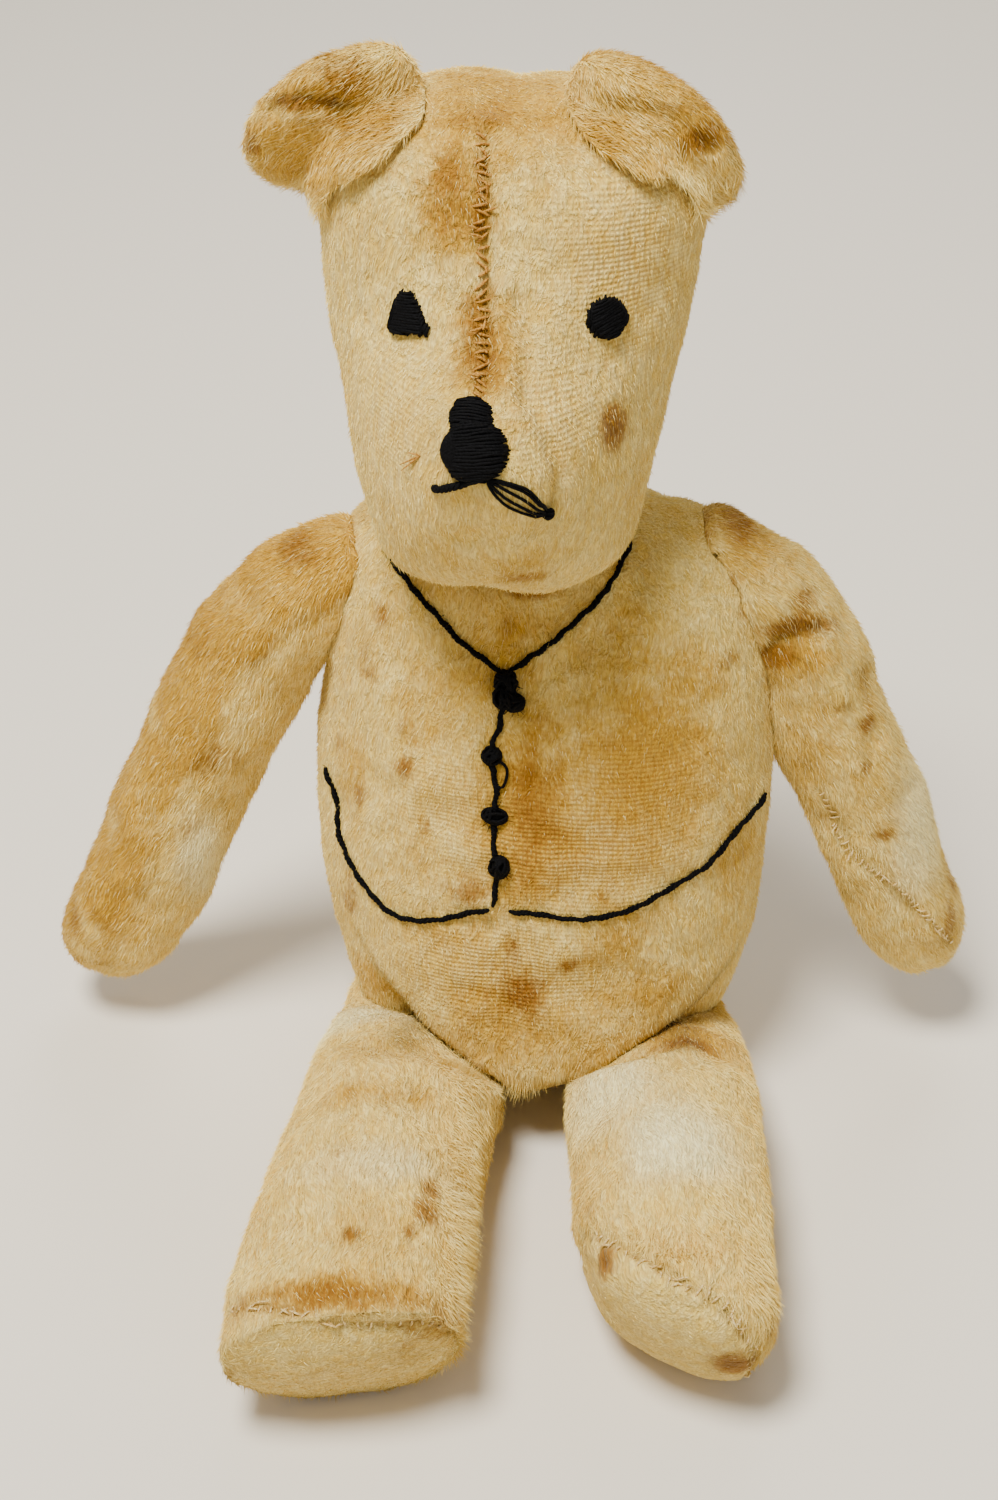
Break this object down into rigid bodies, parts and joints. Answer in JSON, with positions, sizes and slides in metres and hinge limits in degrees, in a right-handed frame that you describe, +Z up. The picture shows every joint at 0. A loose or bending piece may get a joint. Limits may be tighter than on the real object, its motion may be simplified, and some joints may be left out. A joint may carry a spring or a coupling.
{
  "type": "threadbare teddy bear",
  "caption": "Worn, stained plush teddy bear, seated with legs stretched forward, stuffed head, ears and limbs sewn to the body, stitched face and stitched waistcoat outline.",
  "frame": {"origin": "bottom centre of the bounding box, on the surface that the bear sits on", "axes": "+Z up, the bear looks along -Y and its own left side is +X"},
  "size_m": [0.215, 0.168, 0.2407],
  "materials": {
    "pale_plush": "matted cream plush, worn to its backing weave, with brown stains",
    "golden_plush": "longer golden plush, soiled brown",
    "sole_plush": "smooth short-pile foot pad",
    "stuffing": "packed cotton wadding, out of sight",
    "black_thread": "six-strand black embroidery thread",
    "seam_thread": "tan sewing thread, partly pulled"
  },
  "bodies": {
    "root": {"torso_panel_left": "pale_plush", "torso_panel_right": "pale_plush", "head_panel_left": "pale_plush", "head_panel_right": "pale_plush", "ear_left_front": "pale_plush", "ear_right_front": "pale_plush", "arm_left_outer_panel": "pale_plush", "arm_left_inner_panel": "pale_plush", "arm_right_inner_panel": "pale_plush", "leg_left_upper_panel": "pale_plush", "leg_left_under_panel": "pale_plush", "leg_right_upper_panel": "pale_plush", "leg_right_under_panel": "pale_plush", "leg_left_sole": "sole_plush", "leg_right_sole": "sole_plush", "arm_right_outer_panel": "golden_plush", "ear_left_back": "golden_plush", "ear_right_back": "golden_plush", "torso_stuffing": "stuffing", "head_stuffing": "stuffing", "ear_left_stuffing": "stuffing", "ear_right_stuffing": "stuffing", "arm_left_stuffing": "stuffing", "arm_right_stuffing": "stuffing", "leg_left_stuffing": "stuffing", "leg_right_stuffing": "stuffing", "eye_left": "black_thread", "eye_right": "black_thread", "nose": "black_thread", "mouth_left": "black_thread", "mouth_right": "black_thread", "front_edge_and_buttons": "black_thread", "neckline_stitch_left": "black_thread", "neckline_stitch_right": "black_thread", "hem_stitch_left": "black_thread", "hem_stitch_right": "black_thread", "head_seam_stitching": "seam_thread"}
  },
  "joints": []
}
